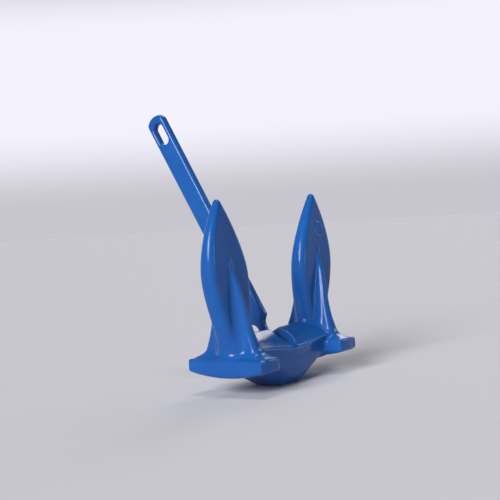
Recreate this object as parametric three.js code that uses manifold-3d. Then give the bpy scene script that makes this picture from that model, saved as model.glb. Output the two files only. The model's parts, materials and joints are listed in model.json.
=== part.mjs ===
// A small stockless navy anchor, about 6.4 kg, dipped in blue vinyl.
// Millimetres, +Z up. X runs from fluke to fluke and the shank swings in the YZ plane.
// The origin is the middle of the foot, the flat that the crown stands on.
import * as THREE from "three";
import { mergeVertices } from "three/addons/utils/BufferGeometryUtils.js";
import Module from "manifold-3d";

const wasm = await Module();
wasm.setup();

// ---- driving dimensions; every length below is a share of HALF -----------------------------
const HALF = 108; // half the head's width, over the outer faces of its palms
const PIVOT_HEIGHT = 0.352 * HALF; // the crown pin's axis above the foot
const LEAN = THREE.MathUtils.degToRad(28.9); // the shank's rest, on its aft stop, from upright

const COAT = 1.2; // thickness of the vinyl
const GAP = 0.3; // between neighbouring pieces
const METAL_INSET = COAT + GAP; // from the coat's outside to the metal

// Palms: the two short bars that run fore and aft under the flukes.
const PALM_WIDTH = 0.36 * HALF;
const PALM_HALF_LENGTH = 0.48 * HALF;
const PALM_TOP = 0.055 * HALF;
const PALM_END_BOTTOM = -0.08 * HALF;
const PALM_MID_BOTTOM = -0.143 * HALF;
const PALM_ROUNDING = 0.028 * HALF;

// Flukes: pointed blades, with a tapering rib on the fore and the aft face.
const FLUKE_TIP = 1.76 * HALF;
const FLUKE_BASE = -0.04 * HALF;
const RIB_TOP = 1.17 * HALF;

// Crown: the hull-shaped body between the palms, with a flat foot.
const CROWN_HALF_LENGTH = 0.76 * HALF;
const FOOT_HALF_LENGTH = 0.19 * HALF;
const FOOT_HALF_DEPTH = 0.172 * HALF;
const RISE_LENGTH = 0.4 * HALF; // over which the underside climbs from the foot
const CROWN_END_BOTTOM = -0.16 * HALF;

// Trough: the hollow in the crown's top, two leaves that meet over the pin.
const TROUGH_HALF_WIDTH = 0.118 * HALF;
const TROUGH_HALF_LENGTH = 0.25 * HALF;
const TROUGH_DEPTH = 0.085 * HALF;
const TROUGH_Y = 0.115 * HALF;
const TROUGH_Z = 0.212 * HALF;
const TROUGH_SLOPE = THREE.MathUtils.degToRad(29);

// Shank: a flat bar with shoulders, a narrow neck, a pin boss and a shackle slot.
const SHANK_THICKNESS = 0.108 * HALF;
const SHANK_HALF_WIDTH = 0.12 * HALF;
const EYE_HALF_WIDTH = 0.129 * HALF;
const END_TOP = 3.183 * HALF;
const END_RADIUS = 0.165 * HALF;
const NECK_HALF_WIDTH = 0.049 * HALF;
const NECK_TOP = 0.29 * HALF;
const SHOULDER = 0.42 * HALF;
const SHOULDER_SOFTENING = 0.034 * HALF;
const COAT_START = 0.2 * HALF; // the shank is bare below this, where it turns in the crown
const SLOT_HALF_WIDTH = 0.061 * HALF;
const SLOT_BOTTOM = 2.805 * HALF;
const SLOT_TOP = 3.073 * HALF;
const SHANK_ROUNDING = 0.018 * HALF;
const BOSS_RADIUS = 11.5;
const BOSS_HALF_WIDTH = 5.5;

// Crown pin and the keeper that holds it up.
const PIN_RADIUS = 6;
const PIN_HALF_LENGTH = 17;
const KEEPER_HALF_X = 18.5;
const KEEPER_HALF_Y = 16;
const KEEPER_CORNER = 3.5;
const KEEPER_THICKNESS = 5.5;
const LUG_INNER = 7.6;
const LUG_HALF_Y = 5;
const SCREW_X = 12.8;
const SCREW_Y = 10.8;
const SCREW_RADIUS = 2;
const SCREW_HEAD_RADIUS = 3.5;
const SCREW_HEAD_HEIGHT = 2.8;
const SCREW_LENGTH = 14;
const SOCKET_RADIUS = 1.7;
const SOCKET_DEPTH = 1.6;
const SCREW_RECESS = 0.4; // of the screw heads below the foot

const WALL = SHANK_THICKNESS / 2 + 1; // half width of the slot that the shank turns in

// ---- solids --------------------------------------------------------------------------------
/** A manifold solid from a closed three.js geometry. */
function solid(geometry) {
  const bare = geometry.clone();
  bare.deleteAttribute("normal");
  bare.deleteAttribute("uv");
  const merged = mergeVertices(bare, 1e-4);
  return new wasm.Manifold(new wasm.Mesh({
    numProp: 3,
    vertProperties: new Float32Array(merged.attributes.position.array),
    triVerts: new Uint32Array(merged.index.array),
  }));
}

/** A named three.js mesh from a manifold solid. */
function meshOf(name, body, material) {
  const cut = body.getMesh();
  const geometry = new THREE.BufferGeometry();
  geometry.setAttribute("position", new THREE.BufferAttribute(cut.vertProperties, 3));
  geometry.setIndex(new THREE.BufferAttribute(cut.triVerts, 1));
  geometry.computeVertexNormals();
  const mesh = new THREE.Mesh(geometry, material);
  mesh.name = name;
  return mesh;
}

function join(...bodies) {
  return bodies.reduce((whole, body) => whole.add(body));
}

/** A cylinder with its vertices moved: place(angle, height from 0 to 1, 1 at the rim or 0). */
function reshaped(sides, rings, place) {
  const geometry = new THREE.CylinderGeometry(1, 1, 1, sides, rings);
  const points = geometry.attributes.position;
  for (let i = 0; i < points.count; i++) {
    const x = points.getX(i);
    const z = points.getZ(i);
    const rim = Math.hypot(x, z) > 0.5 ? 1 : 0;
    points.setXYZ(i, ...place(Math.atan2(-z, x), points.getY(i) + 0.5, rim));
  }
  return solid(geometry);
}

/** An upright column whose middle and half widths follow its height. */
function column(sides, rings, bottom, top, squareness, sectionAt) {
  const corner = (value) => Math.sign(value) * Math.abs(value) ** (2 / squareness);
  return reshaped(sides, rings, (angle, height, rim) => {
    const z = THREE.MathUtils.lerp(bottom, top, height);
    const { middle, halfX, halfY } = sectionAt(z);
    const x = middle + rim * halfX * corner(Math.cos(angle));
    return [x, rim * halfY * corner(Math.sin(angle)), z];
  });
}

/** A shape drawn in the YZ plane, extruded along X about the middle, with chamfered edges. */
function plate(shape, thickness, chamfer, curveSegments = 6) {
  const geometry = new THREE.ExtrudeGeometry(shape, {
    depth: thickness - 2 * chamfer,
    bevelEnabled: chamfer > 0,
    bevelSize: chamfer,
    bevelOffset: -chamfer,
    bevelThickness: chamfer,
    bevelSegments: 1,
    curveSegments,
  });
  geometry.translate(0, 0, chamfer - thickness / 2);
  geometry.rotateX(Math.PI / 2);
  geometry.rotateZ(Math.PI / 2);
  return solid(geometry);
}

function box(halfX, halfY, bottom, top) {
  const geometry = new THREE.BoxGeometry(2 * halfX, 2 * halfY, top - bottom);
  return solid(geometry.translate(0, 0, (bottom + top) / 2));
}

function cylinderAlongX(radius, halfLength, sides = 24) {
  const geometry = new THREE.CylinderGeometry(radius, radius, 2 * halfLength, sides);
  return solid(geometry.rotateZ(Math.PI / 2));
}

/** A smooth curve through points [height, value], as a function of height; all in shares of HALF. */
function profile(pairs) {
  return (height) => {
    const at = height / HALF;
    const last = pairs.length - 1;
    if (at <= pairs[0][0]) return pairs[0][1] * HALF;
    if (at >= pairs[last][0]) return pairs[last][1] * HALF;
    const i = pairs.findIndex((pair) => pair[0] > at) - 1;
    const slope = (a, b) => (pairs[b][1] - pairs[a][1]) / (pairs[b][0] - pairs[a][0]);
    const step = pairs[i + 1][0] - pairs[i][0];
    const t = (at - pairs[i][0]) / step;
    const startSlope = slope(Math.max(i - 1, 0), i + 1) * step;
    const endSlope = slope(i, Math.min(i + 2, last)) * step;
    const rise = pairs[i + 1][1] - pairs[i][1];
    const bend = t * t * (3 - 2 * t) * rise;
    return (pairs[i][1] + bend + t * (1 - t) * ((1 - t) * startSlope - t * endSlope)) * HALF;
  };
}

// ---- the head's outer shape ----------------------------------------------------------------
// Everything here takes an inset, so that the coat's two faces and the metal come from one shape.
const flukeOuterEdge = profile([
  [-0.1, 0.92], [0.15, 0.965], [0.45, 1.07], [0.75, 1.178], [0.95, 1.222],
  [1.17, 1.216], [1.38, 1.163], [1.6, 1.065], [1.76, 0.98],
]);
const flukeInnerEdge = profile([
  [-0.1, 0.64], [0.2, 0.615], [0.45, 0.568], [0.8, 0.535], [1.0, 0.546], [1.17, 0.592],
  [1.38, 0.688], [1.6, 0.82], [1.76, 0.93],
]);
const flukeHalfThickness = profile([
  [-0.1, 0.11], [0.9, 0.105], [1.17, 0.092], [1.4, 0.072], [1.6, 0.052], [1.76, 0.026],
]);
const ribReach = profile([
  [-0.1, 0.46], [0.05, 0.42], [0.12, 0.354], [0.25, 0.299], [0.45, 0.245], [0.76, 0.189],
  [1.17, 0.083],
]);
const ribHalfWidth = profile([
  [-0.1, 0.12], [0.1, 0.1], [0.3, 0.07], [0.76, 0.044], [1.17, 0.028],
]);

function palm(inset) {
  const shape = new THREE.Shape();
  const end = PALM_HALF_LENGTH - inset;
  const top = PALM_TOP - inset;
  shape.moveTo(-end, top);
  shape.lineTo(-end, PALM_END_BOTTOM + inset);
  shape.quadraticCurveTo(0, 2 * PALM_MID_BOTTOM - PALM_END_BOTTOM + inset, end, PALM_END_BOTTOM + inset);
  shape.lineTo(end, top);
  const bar = plate(shape, PALM_WIDTH - 2 * inset, PALM_ROUNDING - inset);
  return bar.translate(HALF - PALM_WIDTH / 2, 0, 0);
}

function fluke(inset) {
  const blade = column(16, 12, FLUKE_BASE, FLUKE_TIP - inset, 3, (z) => {
    const outer = flukeOuterEdge(z) - inset;
    const inner = flukeInnerEdge(z) + inset;
    return {
      middle: (outer + inner) / 2,
      halfX: (outer - inner) / 2,
      halfY: flukeHalfThickness(z) - inset,
    };
  });
  const ribs = column(12, 8, FLUKE_BASE, RIB_TOP, 2.2, (z) => ({
    middle: (flukeOuterEdge(z) + flukeInnerEdge(z)) / 2,
    halfX: ribHalfWidth(z) - inset,
    halfY: ribReach(z) - inset,
  }));
  return blade.add(ribs);
}

/** Half of the crown's outline at x, from the ridge round the lip to the foot, as [y, z]. */
function crownHalfOutline(x) {
  const away = Math.abs(x) / HALF;
  const end = THREE.MathUtils.smoothstep(away, 0, 0.65);
  const climb = THREE.MathUtils.clamp((Math.abs(x) - FOOT_HALF_LENGTH) / RISE_LENGTH, 0, 1);
  const ridge = 0.273 + 0.014 * end;
  const lipY = 0.325 - 0.033 * end;
  const lipZ = 0.052 + 0.05 * end;
  const bottom = THREE.MathUtils.lerp(-PIVOT_HEIGHT, CROWN_END_BOTTOM, climb) / HALF;
  const footY = FOOT_HALF_DEPTH / HALF;
  return [
    [0, ridge],
    [0.1, ridge - 0.053],
    [0.2, THREE.MathUtils.lerp(ridge, lipZ, 0.57)],
    [lipY - 0.055, THREE.MathUtils.lerp(ridge, lipZ, 0.86)],
    [lipY - 0.01, lipZ + 0.01],
    [lipY - 0.012, lipZ - 0.025],
    [0.285, THREE.MathUtils.lerp(lipZ, bottom, 0.35)],
    [0.24, THREE.MathUtils.lerp(lipZ, bottom, 0.75)],
    [footY, bottom],
    [0, bottom],
  ].map(([y, z]) => new THREE.Vector2(y * HALF, z * HALF));
}

/** The same closed outline moved inward, corner by corner. */
function insetOutline(points, inset) {
  const edgeNormal = (from, to) => {
    const along = to.clone().sub(from).normalize();
    return new THREE.Vector2(-along.y, along.x);
  };
  return points.map((point, i) => {
    const before = points[(i + points.length - 1) % points.length];
    const after = points[(i + 1) % points.length];
    const first = edgeNormal(before, point);
    const second = edgeNormal(point, after);
    const inward = first.clone().add(second).normalize();
    return point.clone().addScaledVector(inward, inset / inward.dot(first));
  });
}

function crown(inset) {
  const aftHalf = crownHalfOutline(0).length - 2;
  const sides = 2 * (aftHalf + 1);
  return reshaped(sides, 10, (angle, height, rim) => {
    const x = (2 * height - 1) * CROWN_HALF_LENGTH;
    const half = crownHalfOutline(x);
    const fore = half.slice(1, -1).map((point) => new THREE.Vector2(-point.x, point.y));
    // Counter-clockwise seen from +X: up the aft side, over the ridge, down the fore side.
    const around = [...half.slice().reverse(), ...fore];
    const outline = insetOutline(around, inset);
    const turn = Math.round((angle / (2 * Math.PI)) * sides + sides) % sides;
    const { x: y, y: z } = outline[turn];
    const middle = (PALM_TOP + PALM_END_BOTTOM) / 2;
    return [x, rim * y, THREE.MathUtils.lerp(middle, z, rim)];
  });
}

/** The hollow in the crown's top: one leaf sloping fore and one sloping aft. */
function trough(grow) {
  const leaf = (side) => {
    const geometry = new THREE.SphereGeometry(1, 16, 8);
    geometry.scale(TROUGH_HALF_WIDTH + grow, TROUGH_HALF_LENGTH + grow, TROUGH_DEPTH + grow);
    geometry.rotateX(-side * TROUGH_SLOPE);
    return solid(geometry.translate(0, side * TROUGH_Y, TROUGH_Z));
  };
  return leaf(1).add(leaf(-1));
}

function headShape(inset) {
  const right = palm(inset).add(fluke(inset));
  return join(crown(inset), right, right.mirror([1, 0, 0])).subtract(trough(inset));
}

// ---- the cavity in the crown ---------------------------------------------------------------
const FOOT = -PIVOT_HEIGHT;
const KEEPER_TOP = FOOT + KEEPER_THICKNESS;

/** The fan that the shank's neck sweeps, from the pin up through the crown's top. */
function swingSlot() {
  const reach = 0.6 * HALF;
  const half = NECK_HALF_WIDTH + GAP;
  const side = (sign, along) => [
    sign * (half * Math.cos(LEAN) + along * Math.sin(LEAN)),
    along * Math.cos(LEAN) - half * Math.sin(LEAN),
  ];
  const shape = new THREE.Shape();
  shape.moveTo(...side(-1, 0));
  shape.lineTo(...side(1, 0));
  shape.lineTo(...side(1, reach));
  shape.lineTo(...side(-1, reach));
  return plate(shape, 2 * WALL, 0);
}

function keeperShape(halfX, halfY, corner) {
  const shape = new THREE.Shape();
  const x = halfX - corner;
  const y = halfY - corner;
  shape.moveTo(-x, -halfY);
  shape.absarc(x, -y, corner, -Math.PI / 2, 0);
  shape.absarc(x, y, corner, 0, Math.PI / 2);
  shape.absarc(-x, y, corner, Math.PI / 2, Math.PI);
  shape.absarc(-x, -y, corner, Math.PI, 1.5 * Math.PI);
  return shape;
}

function keeperSlab(grow, bottom, top) {
  const shape = keeperShape(KEEPER_HALF_X + grow, KEEPER_HALF_Y + grow, KEEPER_CORNER + grow);
  const geometry = new THREE.ExtrudeGeometry(shape, {
    depth: top - bottom, bevelEnabled: false, curveSegments: 3,
  });
  return solid(geometry.translate(0, 0, bottom));
}

/** The four corners of the keeper where its screws go. */
const SCREW_CORNERS = [[-1, -1], [1, -1], [1, 1], [-1, 1]];

function screwBores(radius, bottom, top) {
  const bores = SCREW_CORNERS.map(([x, y]) => {
    const geometry = new THREE.CylinderGeometry(radius, radius, top - bottom, 16);
    geometry.rotateX(Math.PI / 2);
    return solid(geometry.translate(x * SCREW_X, y * SCREW_Y, (bottom + top) / 2));
  });
  return join(...bores);
}

function cavity() {
  return join(
    swingSlot(),
    cylinderAlongX(BOSS_RADIUS + 1, WALL),
    box(WALL, BOSS_RADIUS + 1, FOOT, 0),
    cylinderAlongX(PIN_RADIUS + GAP, PIN_HALF_LENGTH + GAP),
    box(PIN_HALF_LENGTH + GAP, PIN_RADIUS + GAP, FOOT, 0),
    keeperSlab(GAP, FOOT - 1, KEEPER_TOP + GAP),
    screwBores(SCREW_RADIUS + GAP, FOOT, FOOT + SCREW_LENGTH + 2),
  );
}

// ---- the pieces of the head ----------------------------------------------------------------
function headCasting() {
  return headShape(METAL_INSET).subtract(cavity());
}

function headCoat() {
  const openings = swingSlot().add(keeperSlab(GAP, FOOT - 1, KEEPER_TOP));
  return headShape(0).subtract(headShape(COAT)).subtract(openings);
}

function keeperPlate() {
  const lug = (side) => {
    const halfX = (PIN_HALF_LENGTH - LUG_INNER) / 2;
    const middle = side * (PIN_HALF_LENGTH + LUG_INNER) / 2;
    return box(halfX, LUG_HALF_Y, KEEPER_TOP - 1, 0).translate(middle, 0, 0);
  };
  const body = join(keeperSlab(0, FOOT, KEEPER_TOP), lug(1), lug(-1));
  return body
    .subtract(cylinderAlongX(PIN_RADIUS + GAP, PIN_HALF_LENGTH + 1))
    .subtract(screwBores(SCREW_RADIUS + GAP, FOOT - 1, KEEPER_TOP + 1))
    .subtract(screwBores(SCREW_HEAD_RADIUS + GAP, FOOT - 1, FOOT + SCREW_RECESS + SCREW_HEAD_HEIGHT + GAP));
}

function crownPin() {
  const chamfer = 1;
  const outline = [
    [0, -PIN_HALF_LENGTH],
    [PIN_RADIUS - chamfer, -PIN_HALF_LENGTH],
    [PIN_RADIUS, -PIN_HALF_LENGTH + chamfer],
    [PIN_RADIUS, PIN_HALF_LENGTH - chamfer],
    [PIN_RADIUS - chamfer, PIN_HALF_LENGTH],
    [0, PIN_HALF_LENGTH],
  ].map(([radius, along]) => new THREE.Vector2(radius, along));
  return solid(new THREE.LatheGeometry(outline, 24).rotateZ(Math.PI / 2));
}

function keeperScrew() {
  const headTop = SCREW_HEAD_HEIGHT;
  const outline = [
    [0, 0],
    [SCREW_HEAD_RADIUS - 0.5, 0],
    [SCREW_HEAD_RADIUS, 0.5],
    [SCREW_HEAD_RADIUS, headTop],
    [SCREW_RADIUS, headTop],
    [SCREW_RADIUS, SCREW_LENGTH - 1],
    [SCREW_RADIUS - 1, SCREW_LENGTH],
    [0, SCREW_LENGTH],
  ].map(([radius, along]) => new THREE.Vector2(radius, along));
  const body = solid(new THREE.LatheGeometry(outline, 16).rotateX(Math.PI / 2));
  const socket = new THREE.CylinderGeometry(SOCKET_RADIUS, SOCKET_RADIUS, 2 * SOCKET_DEPTH, 6);
  return body.subtract(solid(socket.rotateX(Math.PI / 2)));
}

// ---- the pieces of the shank, upright about the pin ----------------------------------------
function shankShape(inset) {
  const shape = new THREE.Shape();
  const neck = NECK_HALF_WIDTH - inset;
  const low = SHANK_HALF_WIDTH - inset;
  const eye = EYE_HALF_WIDTH - inset;
  const end = END_RADIUS - inset;
  const corner = Math.acos(eye / end);
  const shoulder = SHOULDER + inset;
  const bend = SHOULDER_SOFTENING;
  shape.moveTo(neck, 0);
  shape.lineTo(neck, NECK_TOP);
  shape.quadraticCurveTo(neck, shoulder - bend, low - bend, shoulder - bend);
  shape.quadraticCurveTo(low, shoulder - bend, low, shoulder + bend);
  shape.lineTo(eye, END_TOP - END_RADIUS);
  shape.absarc(0, END_TOP - END_RADIUS, end, corner, Math.PI - corner);
  shape.lineTo(-low, shoulder + bend);
  shape.quadraticCurveTo(-low, shoulder - bend, -low + bend, shoulder - bend);
  shape.quadraticCurveTo(-neck, shoulder - bend, -neck, NECK_TOP);
  shape.lineTo(-neck, 0);

  const slot = new THREE.Path();
  const radius = SLOT_HALF_WIDTH + inset;
  slot.absarc(0, SLOT_TOP - SLOT_HALF_WIDTH, radius, 0, Math.PI);
  slot.absarc(0, SLOT_BOTTOM + SLOT_HALF_WIDTH, radius, Math.PI, 2 * Math.PI);
  shape.holes.push(slot);
  return plate(shape, SHANK_THICKNESS - 2 * inset, SHANK_ROUNDING - inset, 6);
}

function shankBar() {
  const boss = cylinderAlongX(BOSS_RADIUS, BOSS_HALF_WIDTH, 32);
  const hole = cylinderAlongX(PIN_RADIUS + GAP, BOSS_HALF_WIDTH + 1);
  return shankShape(METAL_INSET).add(boss).subtract(hole);
}

function shankCoat() {
  const bare = box(SHANK_THICKNESS, 2 * SHANK_HALF_WIDTH, -SHANK_HALF_WIDTH, COAT_START);
  return shankShape(0).subtract(shankShape(COAT)).subtract(bare);
}

// ---- materials and assembly ----------------------------------------------------------------
const vinyl = () => new THREE.MeshStandardMaterial({ color: 0x2a5aa8, roughness: 0.25, metalness: 0 });
const iron = () => new THREE.MeshStandardMaterial({ color: 0x55514c, roughness: 0.75, metalness: 0.8 });
const steel = () => new THREE.MeshStandardMaterial({ color: 0xa8a9a8, roughness: 0.4, metalness: 0.9 });

const head = new THREE.Group();
head.add(meshOf("head_casting", headCasting(), iron()));
head.add(meshOf("head_vinyl_coat", headCoat(), vinyl()));
head.add(meshOf("crown_pin", crownPin(), steel()));
head.add(meshOf("keeper_plate", keeperPlate(), steel()));
SCREW_CORNERS.forEach(([x, y], i) => {
  const screw = meshOf(`keeper_screw_${i + 1}`, keeperScrew(), steel());
  screw.position.set(x * SCREW_X, y * SCREW_Y, FOOT + SCREW_RECESS);
  head.add(screw);
});

const shank = new THREE.Group();
shank.rotation.x = -LEAN;
shank.add(meshOf("shank_bar", shankBar(), steel()));
shank.add(meshOf("shank_vinyl_coat", shankCoat(), vinyl()));

const anchor = new THREE.Group();
anchor.position.z = PIVOT_HEIGHT;
anchor.add(head, shank);
anchor.updateMatrixWorld(true);

export default anchor;
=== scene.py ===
"""The looks of a small stockless anchor dipped in blue vinyl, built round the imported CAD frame.

The two coats are replaced by smooth skins. Each skin is written as a distance (negative inside, in
shares of HALF) with cast fillets between its forms, and then meshed.
"""
import json
import math

import bmesh
import bpy
import numpy as np
from mathutils import Matrix, Vector


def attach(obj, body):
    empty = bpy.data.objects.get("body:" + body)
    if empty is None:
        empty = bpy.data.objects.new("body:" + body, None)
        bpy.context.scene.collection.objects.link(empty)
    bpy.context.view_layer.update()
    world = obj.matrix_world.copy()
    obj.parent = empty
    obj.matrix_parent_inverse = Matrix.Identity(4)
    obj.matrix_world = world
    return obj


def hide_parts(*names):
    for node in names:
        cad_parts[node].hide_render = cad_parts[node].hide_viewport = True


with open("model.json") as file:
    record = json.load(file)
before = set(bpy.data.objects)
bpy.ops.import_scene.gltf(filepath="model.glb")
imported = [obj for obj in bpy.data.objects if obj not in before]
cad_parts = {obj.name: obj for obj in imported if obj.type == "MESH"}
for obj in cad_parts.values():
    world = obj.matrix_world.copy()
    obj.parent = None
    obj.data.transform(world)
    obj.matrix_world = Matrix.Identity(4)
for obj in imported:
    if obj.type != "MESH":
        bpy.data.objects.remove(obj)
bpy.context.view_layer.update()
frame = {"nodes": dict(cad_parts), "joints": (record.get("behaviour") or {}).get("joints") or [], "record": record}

# ---- places and sizes read off the frame ----------------------------------------------------
swing = frame["joints"][0]
PIVOT = Vector(swing["pos_m"])
LEAN = math.radians(swing["range_deg"][1]) / 2  # the shank's rest angle from upright
PIVOT_SHARE = 0.352  # the pin's height above the foot, as a share of HALF
HALF = PIVOT.z / PIVOT_SHARE  # half the head's width over its palms

HEAD_VOXEL = 0.0011
SHANK_VOXEL = 0.0007


# ---- signed distances: joining, cutting and curves ------------------------------------------
def round_join(a, b, radius):
    """Union with a concave fillet."""
    corner = np.hypot(np.maximum(radius - a, 0), np.maximum(radius - b, 0))
    return np.maximum(radius, np.minimum(a, b)) - corner


def round_meet(a, b, radius):
    """Intersection with a rounded edge."""
    corner = np.hypot(np.maximum(radius + a, 0), np.maximum(radius + b, 0))
    return np.minimum(-radius, np.maximum(a, b)) + corner


def profile(*pairs):
    """A smooth curve through points (height, value), as a function of height."""
    heights, values = np.array(pairs, float).T
    steps = np.diff(heights)
    slopes = np.diff(values) / steps
    inner = (slopes[1:] * steps[:-1] + slopes[:-1] * steps[1:]) / (steps[1:] + steps[:-1])
    tangents = np.concatenate([slopes[:1], inner, slopes[-1:]])

    def at(height):
        h = np.clip(height, heights[0], heights[-1])
        i = np.clip(np.searchsorted(heights, h) - 1, 0, len(steps) - 1)
        t = (h - heights[i]) / steps[i]
        rise = values[i + 1] - values[i]
        start, end = tangents[i] * steps[i], tangents[i + 1] * steps[i]
        return values[i] + t * t * (3 - 2 * t) * rise + t * (1 - t) * ((1 - t) * start - t * end)

    return at


def slant(curve, height, step=0.01):
    """How much longer the surface of a curve is than its height, to keep distances true."""
    return np.sqrt(1 + ((curve(height + step) - curve(height - step)) / (2 * step)) ** 2)


def ease(value, blend):
    """A ramp from 0 to 1 with its two corners rounded."""

    def hinge(v):
        return np.where(v > blend, v, np.where(v < -blend, 0, (v + blend) ** 2 / (4 * blend)))

    return hinge(value) - hinge(value - 1)


def smoothstep(value, low, high):
    t = np.clip((value - low) / (high - low), 0, 1)
    return t * t * (3 - 2 * t)


# ---- the head, about the pin's axis ----------------------------------------------------------
PALM_INNER, PALM_OUTER = 0.64, 1.0
PALM_HALF_LENGTH = 0.48
PALM_TOP = 0.055
PALM_END_DEPTH, PALM_MID_DEPTH = 0.08, 0.143

FLUKE_BASE, FLUKE_TIP = 0.03, 1.765
RIB_TOP = 1.3
fluke_outer = profile((-0.1, 0.92), (0.15, 0.965), (0.45, 1.07), (0.75, 1.178), (0.95, 1.222),
                      (1.17, 1.216), (1.38, 1.163), (1.6, 1.065), (1.78, 0.965))
fluke_inner = profile((-0.1, 0.64), (0.2, 0.615), (0.45, 0.568), (0.8, 0.535), (1.0, 0.546),
                      (1.17, 0.592), (1.38, 0.688), (1.6, 0.82), (1.78, 0.945))
fluke_thickness = profile((-0.1, 0.112), (0.9, 0.108), (1.17, 0.095), (1.4, 0.076), (1.6, 0.057),
                          (1.78, 0.036))
rib_reach = profile((-0.1, 0.47), (0.05, 0.41), (0.12, 0.352), (0.25, 0.298), (0.45, 0.245),
                    (0.76, 0.189), (1.12, 0.088), (1.3, 0.02))
rib_width = profile((-0.1, 0.13), (0.1, 0.1), (0.3, 0.07), (0.76, 0.042), (1.2, 0.02))

crown_drop = profile((0, 0), (0.1, 0.245), (0.2, 0.56), (0.27, 0.845), (0.305, 0.945), (0.35, 0.98))
crown_side = profile((-0.3, 0.33), (0, 0.327), (0.06, 0.313), (0.15, 0.298), (0.35, 0.286),
                     (0.75, 0.243), (0.93, 0.2), (1.0, 0.174), (1.2, 0.1))
trough_depth = profile((0, 0.075), (0.1, 0.098), (0.18, 0.072), (0.24, 0.03), (0.28, 0.006), (0.3, 0))
trough_width = profile((0, 0.11), (0.1, 0.122), (0.18, 0.11), (0.26, 0.07), (0.3, 0.03))

KEEPER_X, KEEPER_Y, KEEPER_CORNER = 0.1741, 0.1509, 0.035
SLOT_HALF_X = 0.061
NECK_HALF_WIDTH = 0.052

MARK_X, MARK_Z, MARK_RADIUS = 0.965, 1.335, 0.08
MARK_SINK, MARK_BEAD = 0.011, 0.014


def palm(x, y, z):
    depth = PALM_END_DEPTH + (PALM_MID_DEPTH - PALM_END_DEPTH) * (1 - (y / PALM_HALF_LENGTH) ** 2)
    middle, half = (PALM_OUTER + PALM_INNER) / 2, (PALM_OUTER - PALM_INNER) / 2
    plan = round_meet(np.abs(x - middle) - half, np.abs(y) - PALM_HALF_LENGTH, 0.022)
    faces = np.maximum(z - PALM_TOP, -z - depth)
    return round_meet(plan, faces, 0.03)


def fluke(x, y, z):
    outer, inner = fluke_outer(z), fluke_inner(z)
    middle, half = (outer + inner) / 2, (outer - inner) / 2
    across = (x - middle) / half
    dish = 0.008 * smoothstep(z, 0.3, 0.7) * (1 - smoothstep(z, 1.25, 1.6))
    thick = fluke_thickness(z) - dish * np.clip(1 - across**2, 0, 1)
    stretch = np.where(x > middle, slant(fluke_outer, z), slant(fluke_inner, z))
    edge = (np.abs(x - middle) - half) / stretch
    radius = np.minimum(0.085, fluke_thickness(z) * 0.9)
    blade = round_meet(edge, np.abs(y) - thick, radius)
    blade = round_meet(blade, z - FLUKE_TIP, 0.03)

    reach = rib_reach(z)
    taper = 1.35 - 0.5 * np.clip(np.abs(y) / reach, 0, 1)
    wall = np.abs(x - middle) - rib_width(z) * taper
    crest = (np.abs(y) - reach) / slant(rib_reach, z)
    rib = round_meet(wall, crest, np.minimum(0.05, rib_width(z) * 0.8))
    rib = np.maximum(rib, z - RIB_TOP)
    fillet = 0.1 - 0.08 * smoothstep(z, 0.3, 1.15)
    return np.maximum(round_join(blade, rib, fillet), -FLUKE_BASE - z)


def crown(x, y, z):
    away, aside = np.abs(x), np.abs(y)
    end = smoothstep(away, 0, 0.65)
    ridge = 0.273 + 0.014 * end
    lip_y, lip_z = 0.328 - 0.033 * end, 0.052 + 0.05 * end
    bottom = -PIVOT_SHARE + (PIVOT_SHARE - 0.16) * ease((away - 0.19) / 0.4, 0.08)
    # The top falls from the ridge to a thin lip, and the sides tuck in from there to the foot.
    steep = (ridge - lip_z) * (crown_drop(aside + 0.01) - crown_drop(aside - 0.01)) / 0.02
    groove = np.clip(1 - (x / trough_width(aside)) ** 2, 0, 1) ** 1.25 * trough_depth(aside)
    top = (z - ridge + (ridge - lip_z) * crown_drop(aside) + groove) / np.sqrt(1 + steep**2)
    low = (lip_z - z) / (lip_z - bottom)
    side = (aside - crown_side(low) - (lip_y - 0.328) * np.clip(1 - 2.2 * low, 0, 1)) * 0.93
    under = (bottom - z) * np.where((away > 0.19) & (away < 0.59), 0.9, 1.0)
    body = round_meet(top, side, 0.012)
    body = round_meet(body, under, 0.038)
    return round_meet(body, away - 0.78, 0.02)


def swing_slot(x, y, z):
    """The fan that the shank's neck sweeps."""
    wall = np.abs(y) * math.cos(LEAN) - z * math.sin(LEAN) - NECK_HALF_WIDTH
    return np.maximum(np.maximum(wall, np.abs(x) - SLOT_HALF_X), -z - 0.12)


def foot_opening(x, y, z):
    plan = round_meet(np.abs(x) - KEEPER_X, np.abs(y) - KEEPER_Y, KEEPER_CORNER)
    return np.maximum(plan, z + PIVOT_SHARE - 0.052)


def inner_hollow(x, y, z):
    """Room for the casting's own cavity, so that only the casting shows in there."""
    return np.maximum(np.hypot(y, z) - 0.14, np.abs(x) - 0.19)


def casting_mark(x, y, z):
    """A plain raised ring on the right fluke's fore face, as high above it all the way round."""
    radius = np.hypot(x - MARK_X, z - MARK_Z)
    ring = np.hypot(radius - MARK_RADIUS, y + fluke_thickness(z) - MARK_SINK)
    return ring - MARK_BEAD


def head_distance(x, y, z):
    far = np.abs(x)
    flukes = round_join(palm(far, y, z), fluke(far, y, z), 0.09)
    body = round_join(crown(far, y, z), flukes, 0.045)
    body = round_join(body, casting_mark(x, y, z), 0.01)
    body = round_meet(body, -swing_slot(x, y, z), 0.012)
    body = np.maximum(body, -foot_opening(x, y, z))
    return np.maximum(body, -inner_hollow(x, y, z))


# ---- the shank, upright about the pin's axis -------------------------------------------------
SHANK_HALF_THICKNESS = 0.054
END_TOP, END_RADIUS = 3.183, 0.165
shank_half_width = profile((0.4, 0.12), (1.8, 0.1245), (3.073, 0.129))
SHOULDER = 0.415
NECK = 0.049
COAT_START = 0.2
SLOT_BOTTOM, SLOT_TOP, SLOT_HALF = 2.805, 3.073, 0.061


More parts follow.
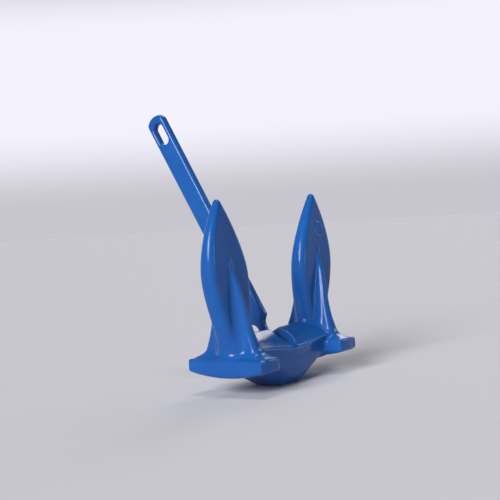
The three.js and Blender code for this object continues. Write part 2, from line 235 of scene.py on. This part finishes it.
def shank_distance(x, y, z):
    end = np.hypot(y, z - END_TOP + END_RADIUS) - END_RADIUS
    sides = np.abs(y) - shank_half_width(z)
    bar = round_meet(sides, np.where(z > END_TOP - END_RADIUS, end, -1), 0.02)
    bar = round_meet(bar, SHOULDER - z, 0.03)
    neck = np.maximum(np.abs(y) - NECK, z - 1)
    outline = round_join(bar, neck, 0.1)
    slot_z = z - np.clip(z, SLOT_BOTTOM + SLOT_HALF, SLOT_TOP - SLOT_HALF)
    outline = np.maximum(outline, SLOT_HALF - np.hypot(y, slot_z))
    body = round_meet(outline, np.abs(x) - SHANK_HALF_THICKNESS, 0.04)
    return round_meet(body, COAT_START - z, 0.008)


# ---- meshing a distance ----------------------------------------------------------------------
def surface_net(distance, low, high, step):
    """Vertices and quads of the surface where distance is 0, in shares of HALF."""
    axes = [np.arange(a - 2 * step, b + 3 * step, step) for a, b in zip(low, high)]
    x, y, z = np.meshgrid(*axes, indexing="ij", sparse=True)
    field = np.asarray(distance(x, y, z), np.float32)
    inside = field < 0
    shape = np.array(field.shape)
    total = np.zeros((*(shape - 1), 3), np.float32)
    count = np.zeros(shape - 1, np.float32)
    # Each cell's vertex is the mean of the places where the surface crosses its twelve edges.
    for axis in range(3):
        ahead = [slice(None)] * 3
        behind = [slice(None)] * 3
        ahead[axis], behind[axis] = slice(1, None), slice(None, -1)
        first, second = field[tuple(behind)], field[tuple(ahead)]
        crosses = inside[tuple(behind)] != inside[tuple(ahead)]
        share = np.where(crosses, first / np.where(crosses, first - second, 1), 0)
        others = [a for a in range(3) if a != axis]
        for m in range(2):
            for n in range(2):
                part = [slice(None)] * 3
                part[others[0]] = slice(m, shape[others[0]] - 1 + m)
                part[others[1]] = slice(n, shape[others[1]] - 1 + n)
                hit = crosses[tuple(part)]
                total[..., axis] += share[tuple(part)]
                total[..., others[0]] += m * hit
                total[..., others[1]] += n * hit
                count += hit
    cells = np.argwhere(count > 0)
    number = np.full(count.shape, -1, np.int64)
    number[tuple(cells.T)] = np.arange(len(cells))
    spots = cells + total[tuple(cells.T)] / count[tuple(cells.T)][:, None]
    points = spots * step + np.array([a[0] for a in axes])
    quads = []
    for axis in range(3):
        ahead = [slice(None)] * 3
        behind = [slice(None)] * 3
        ahead[axis], behind[axis] = slice(1, None), slice(None, -1)
        first, second = inside[tuple(behind)], inside[tuple(ahead)]
        u, v = (axis + 1) % 3, (axis + 2) % 3
        for leaving, order in ((first & ~second, 1), (~first & second, -1)):
            at = np.argwhere(leaving)
            at = at[(at[:, u] > 0) & (at[:, v] > 0)]
            ring = []
            for du, dv in ((-1, -1), (0, -1), (0, 0), (-1, 0)):
                cell = at.copy()
                cell[:, u] += du
                cell[:, v] += dv
                ring.append(number[tuple(cell.T)])
            quads.append(np.stack(ring, axis=1)[:, ::order])
    return points, np.concatenate(quads)


def settle(points, distance, rounds=3, step=0.002):
    """Moves points onto the surface, along its slope."""
    for _ in range(rounds):
        value = distance(*points.T)
        slope = np.empty_like(points)
        for axis in range(3):
            shift = np.zeros(3)
            shift[axis] = step
            slope[:, axis] = (distance(*(points + shift).T) - distance(*(points - shift).T)) / (2 * step)
        size = np.maximum((slope**2).sum(axis=1), 0.25)
        move = slope * (value / size)[:, None]
        points = points - np.clip(move, -step * 4, step * 4)
    return points


def join_pinches(mesh, near=2e-5):
    """Joins the ends of any edge that four faces share, where a shallow saddle grazes the lattice."""
    work = bmesh.new()
    work.from_mesh(mesh)
    ends = (v for edge in work.edges if len(edge.link_faces) > 2 for v in edge.verts)
    bmesh.ops.remove_doubles(work, verts=list(dict.fromkeys(ends)), dist=near)
    work.to_mesh(mesh)
    work.free()


def skin(name, distance, low, high, voxel, turn=None):
    """A smooth mesh object from a distance written about the pin's axis."""
    points, quads = surface_net(distance, low, high, voxel / HALF)
    points = settle(points, distance)
    mesh = bpy.data.meshes.new(name)
    mesh.vertices.add(len(points))
    mesh.vertices.foreach_set("co", (points * HALF).astype(np.float32).ravel())
    mesh.loops.add(quads.size)
    mesh.loops.foreach_set("vertex_index", quads.astype(np.int32).ravel())
    mesh.polygons.add(len(quads))
    mesh.polygons.foreach_set("loop_start", np.arange(0, quads.size, 4, dtype=np.int32))
    mesh.update(calc_edges=True)
    mesh.validate()
    join_pinches(mesh)
    mesh.shade_smooth()
    mesh.transform(Matrix.Translation(PIVOT) @ (turn or Matrix.Identity(4)))
    piece = bpy.data.objects.new(name, mesh)
    bpy.context.scene.collection.objects.link(piece)
    return piece


# ---- materials -------------------------------------------------------------------------------
class Nodes:
    """A material's node tree, with short calls for the nodes used here."""

    def __init__(self, name):
        self.material = bpy.data.materials.new(name)
        self.material.use_nodes = True
        self.tree = self.material.node_tree
        self.shader = next(n for n in self.tree.nodes if n.type == "BSDF_PRINCIPLED")
        self.place = self.add("ShaderNodeTexCoord").outputs["Object"]

    def add(self, kind):
        return self.tree.nodes.new(kind)

    def link(self, source, target):
        self.tree.links.new(source, target)

    def noise(self, scale, detail=3.0, roughness=0.5):
        node = self.add("ShaderNodeTexNoise")
        node.inputs["Scale"].default_value = scale
        node.inputs["Detail"].default_value = detail
        node.inputs["Roughness"].default_value = roughness
        self.link(self.place, node.inputs["Vector"])
        return node.outputs["Fac"]

    def ramp(self, source, *stops):
        node = self.add("ShaderNodeValToRGB")
        elements = node.color_ramp.elements
        while len(elements) < len(stops):
            elements.new(0.5)
        for element, (position, colour) in zip(elements, stops):
            element.position = position
            element.color = (*colour, 1)
        self.link(source, node.inputs["Fac"])
        return node.outputs["Color"]

    def span(self, source, low, high, to_low, to_high):
        node = self.add("ShaderNodeMapRange")
        ends = {"From Min": low, "From Max": high, "To Min": to_low, "To Max": to_high}
        for key, value in ends.items():
            node.inputs[key].default_value = value
        self.link(source, node.inputs["Value"])
        return node.outputs["Result"]

    def bump(self, height, strength, distance, below=None):
        node = self.add("ShaderNodeBump")
        node.inputs["Strength"].default_value = strength
        node.inputs["Distance"].default_value = distance
        self.link(height, node.inputs["Height"])
        if below:
            self.link(below, node.inputs["Normal"])
        return node.outputs["Normal"]


def blue_vinyl():
    made = Nodes("blue_vinyl")
    shade = made.noise(14, 2)
    colour = made.ramp(shade, (0.3, (0.009, 0.078, 0.31)), (0.7, (0.012, 0.1, 0.365)))
    made.link(colour, made.shader.inputs["Base Color"])
    gloss = made.noise(60, 4, 0.6)
    made.link(made.span(gloss, 0.35, 0.7, 0.16, 0.27), made.shader.inputs["Roughness"])
    ripple = made.bump(made.noise(55, 2), 0.12, 0.002)
    made.link(made.bump(made.noise(420, 2), 0.05, 0.0005, ripple), made.shader.inputs["Normal"])
    made.shader.inputs["IOR"].default_value = 1.42
    made.shader.inputs["Specular IOR Level"].default_value = 0.3
    return made.material


def cast_iron():
    made = Nodes("cast_iron")
    grain = made.noise(160, 6, 0.7)
    dark, grey, rust = (0.06, 0.05, 0.045), (0.13, 0.115, 0.10), (0.19, 0.11, 0.07)
    colour = made.ramp(grain, (0.3, dark), (0.55, grey), (0.75, rust))
    made.link(colour, made.shader.inputs["Base Color"])
    made.link(made.span(grain, 0.3, 0.7, 0.55, 0.85), made.shader.inputs["Roughness"])
    made.link(made.bump(grain, 0.5, 0.0008), made.shader.inputs["Normal"])
    made.shader.inputs["Metallic"].default_value = 0.6
    return made.material


def steel():
    made = Nodes("steel")
    grain = made.noise(240, 5, 0.65)
    colour = made.ramp(grain, (0.35, (0.17, 0.17, 0.165)), (0.7, (0.29, 0.29, 0.28)))
    made.link(colour, made.shader.inputs["Base Color"])
    made.link(made.span(grain, 0.3, 0.7, 0.38, 0.58), made.shader.inputs["Roughness"])
    made.link(made.bump(grain, 0.25, 0.0003), made.shader.inputs["Normal"])
    made.shader.inputs["Metallic"].default_value = 0.9
    return made.material


def dress(piece, material):
    piece.data.materials.clear()
    piece.data.materials.append(material)


# ---- the pieces ------------------------------------------------------------------------------
materials = {"blue_vinyl": blue_vinyl(), "cast_iron": cast_iron(), "steel": steel()}
for part in frame["record"]["subparts"]:
    dress(frame["nodes"][part["node"]], materials[part["material_slot"]])

head_low, head_high = (-1.28, -0.49, -PIVOT_SHARE), (1.28, 0.49, FLUKE_TIP)
head_skin = skin("head_vinyl_skin", head_distance, head_low, head_high, HEAD_VOXEL)
dress(head_skin, materials["blue_vinyl"])
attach(head_skin, "head")
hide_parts("head_vinyl_coat")

lean = Matrix.Rotation(-LEAN, 4, "X")
shank_low, shank_high = (-0.06, -0.135, COAT_START), (0.06, 0.135, END_TOP)
shank_skin = skin("shank_vinyl_skin", shank_distance, shank_low, shank_high, SHANK_VOXEL, lean)
dress(shank_skin, materials["blue_vinyl"])
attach(shank_skin, "shank")
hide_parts("shank_vinyl_coat")


# ---- floor, light and camera -----------------------------------------------------------------
FLOOR_RADIUS, FLOOR_SIDES = 8, 128
LAMP_DISTANCE = 2
BACKDROP_SIDE = (0.822, 0.569, 0)  # the way to the backdrop, behind the anchor as the camera sees it
SENSOR_WIDTH, LENS = 36, 81.45


def plain(name, colour, roughness):
    material = bpy.data.materials.new(name)
    material.use_nodes = True
    shader = next(n for n in material.node_tree.nodes if n.type == "BSDF_PRINCIPLED")
    shader.inputs["Base Color"].default_value = (*colour, 1)
    shader.inputs["Roughness"].default_value = roughness
    return material


def floor():
    turns = [math.tau * k / FLOOR_SIDES for k in range(FLOOR_SIDES)]
    ring = [(FLOOR_RADIUS * math.cos(turn), FLOOR_RADIUS * math.sin(turn), 0) for turn in turns]
    mesh = bpy.data.meshes.new("floor")
    mesh.from_pydata(ring, [], [tuple(range(FLOOR_SIDES))])
    piece = bpy.data.objects.new("floor", mesh)
    bpy.context.scene.collection.objects.link(piece)
    dress(piece, plain("pale_floor", (0.65, 0.64, 0.68), 0.9))


def far_lamp(name, azimuth, elevation, spread, strength):
    """A lamp that shines on the anchor from azimuth, elevation in degrees, seen spread degrees wide."""
    lamp = bpy.data.lights.new(name, "SUN")
    lamp.angle = math.radians(spread)
    lamp.energy = strength
    a, e = math.radians(azimuth), math.radians(elevation)
    back = Vector((math.sin(a) * math.cos(e), -math.cos(a) * math.cos(e), math.sin(e)))
    piece = bpy.data.objects.new(name, lamp)
    piece.location = PIVOT + Vector((0, 0, HALF)) + back * LAMP_DISTANCE
    piece.rotation_mode = "QUATERNION"
    piece.rotation_quaternion = (-back).to_track_quat("-Z", "Y")
    bpy.context.scene.collection.objects.link(piece)


def surroundings():
    """A pale backdrop, darker walls elsewhere, a key lamp from the left and four weaker ones."""
    world = bpy.data.worlds.new("studio")
    world.use_nodes = True
    nodes, links = world.node_tree.nodes, world.node_tree.links
    background = next(n for n in nodes if n.type == "BACKGROUND")
    background.inputs["Color"].default_value = (0.92, 0.91, 1, 1)
    where = nodes.new("ShaderNodeTexCoord").outputs["Generated"]
    behind = nodes.new("ShaderNodeVectorMath")
    behind.operation = "DOT_PRODUCT"
    behind.inputs[1].default_value = BACKDROP_SIDE
    links.new(where, behind.inputs[0])
    share = nodes.new("ShaderNodeMapRange")
    share.interpolation_type = "SMOOTHSTEP"
    share.inputs["From Min"].default_value = 0.1
    share.inputs["From Max"].default_value = 0.75
    links.new(behind.outputs["Value"], share.inputs["Value"])
    height = nodes.new("ShaderNodeSeparateXYZ")
    links.new(where, height.inputs[0])
    lift = nodes.new("ShaderNodeMapRange")
    lift.inputs["From Min"].default_value = -0.1
    lift.inputs["From Max"].default_value = 0.4
    links.new(height.outputs["Z"], lift.inputs["Value"])

    def wall(*stops):
        """Brightness by height, from below the floor's edge to well above the anchor."""
        ramp = nodes.new("ShaderNodeValToRGB")
        ramp.color_ramp.interpolation = "EASE"
        while len(ramp.color_ramp.elements) < len(stops):
            ramp.color_ramp.elements.new(0.5)
        for stop, (at, grey) in zip(ramp.color_ramp.elements, stops):
            stop.position = at
            stop.color = (grey, grey, grey, 1)
        links.new(lift.outputs["Result"], ramp.inputs["Fac"])
        return ramp.outputs["Color"]

    both = nodes.new("ShaderNodeMix")
    links.new(share.outputs["Result"], both.inputs["Factor"])
    links.new(wall((0.2, 0.58), (0.34, 0.38), (0.48, 0.15), (0.7, 0.06)), both.inputs["A"])
    links.new(wall((0.2, 0.62), (0.34, 0.98), (0.5, 0.98), (0.7, 0.2)), both.inputs["B"])
    links.new(both.outputs["Result"], background.inputs["Strength"])
    bpy.context.scene.world = world
    far_lamp("key", -86, 25, 26, 3.5)
    far_lamp("above", -56, 80, 14, 0.65)
    far_lamp("strip", 10, 9, 9, 0.17)
    far_lamp("far_side", 104, 32, 21, 0.47)
    far_lamp("right", 65, 22, 14, 0.17)


def camera():
    """Where the photograph was taken from, in shares of HALF about the pin's axis."""
    place = Vector((-10.601, -7.073, 1.747))
    aim = Vector((-0.124, 0.179, 1.171))
    roll = math.radians(-3.45)
    data = bpy.data.cameras.new("camera")
    data.sensor_width = SENSOR_WIDTH
    data.lens = LENS
    view = bpy.data.objects.new("camera", data)
    view.location = PIVOT + place * HALF
    view.rotation_mode = "QUATERNION"
    facing = (aim - place).to_track_quat("-Z", "Y")
    view.rotation_quaternion = facing @ Matrix.Rotation(roll, 3, "Z").to_quaternion()
    bpy.context.scene.collection.objects.link(view)
    bpy.context.scene.camera = view


floor()
surroundings()
camera()
bpy.context.scene.view_settings.view_transform = "Standard"
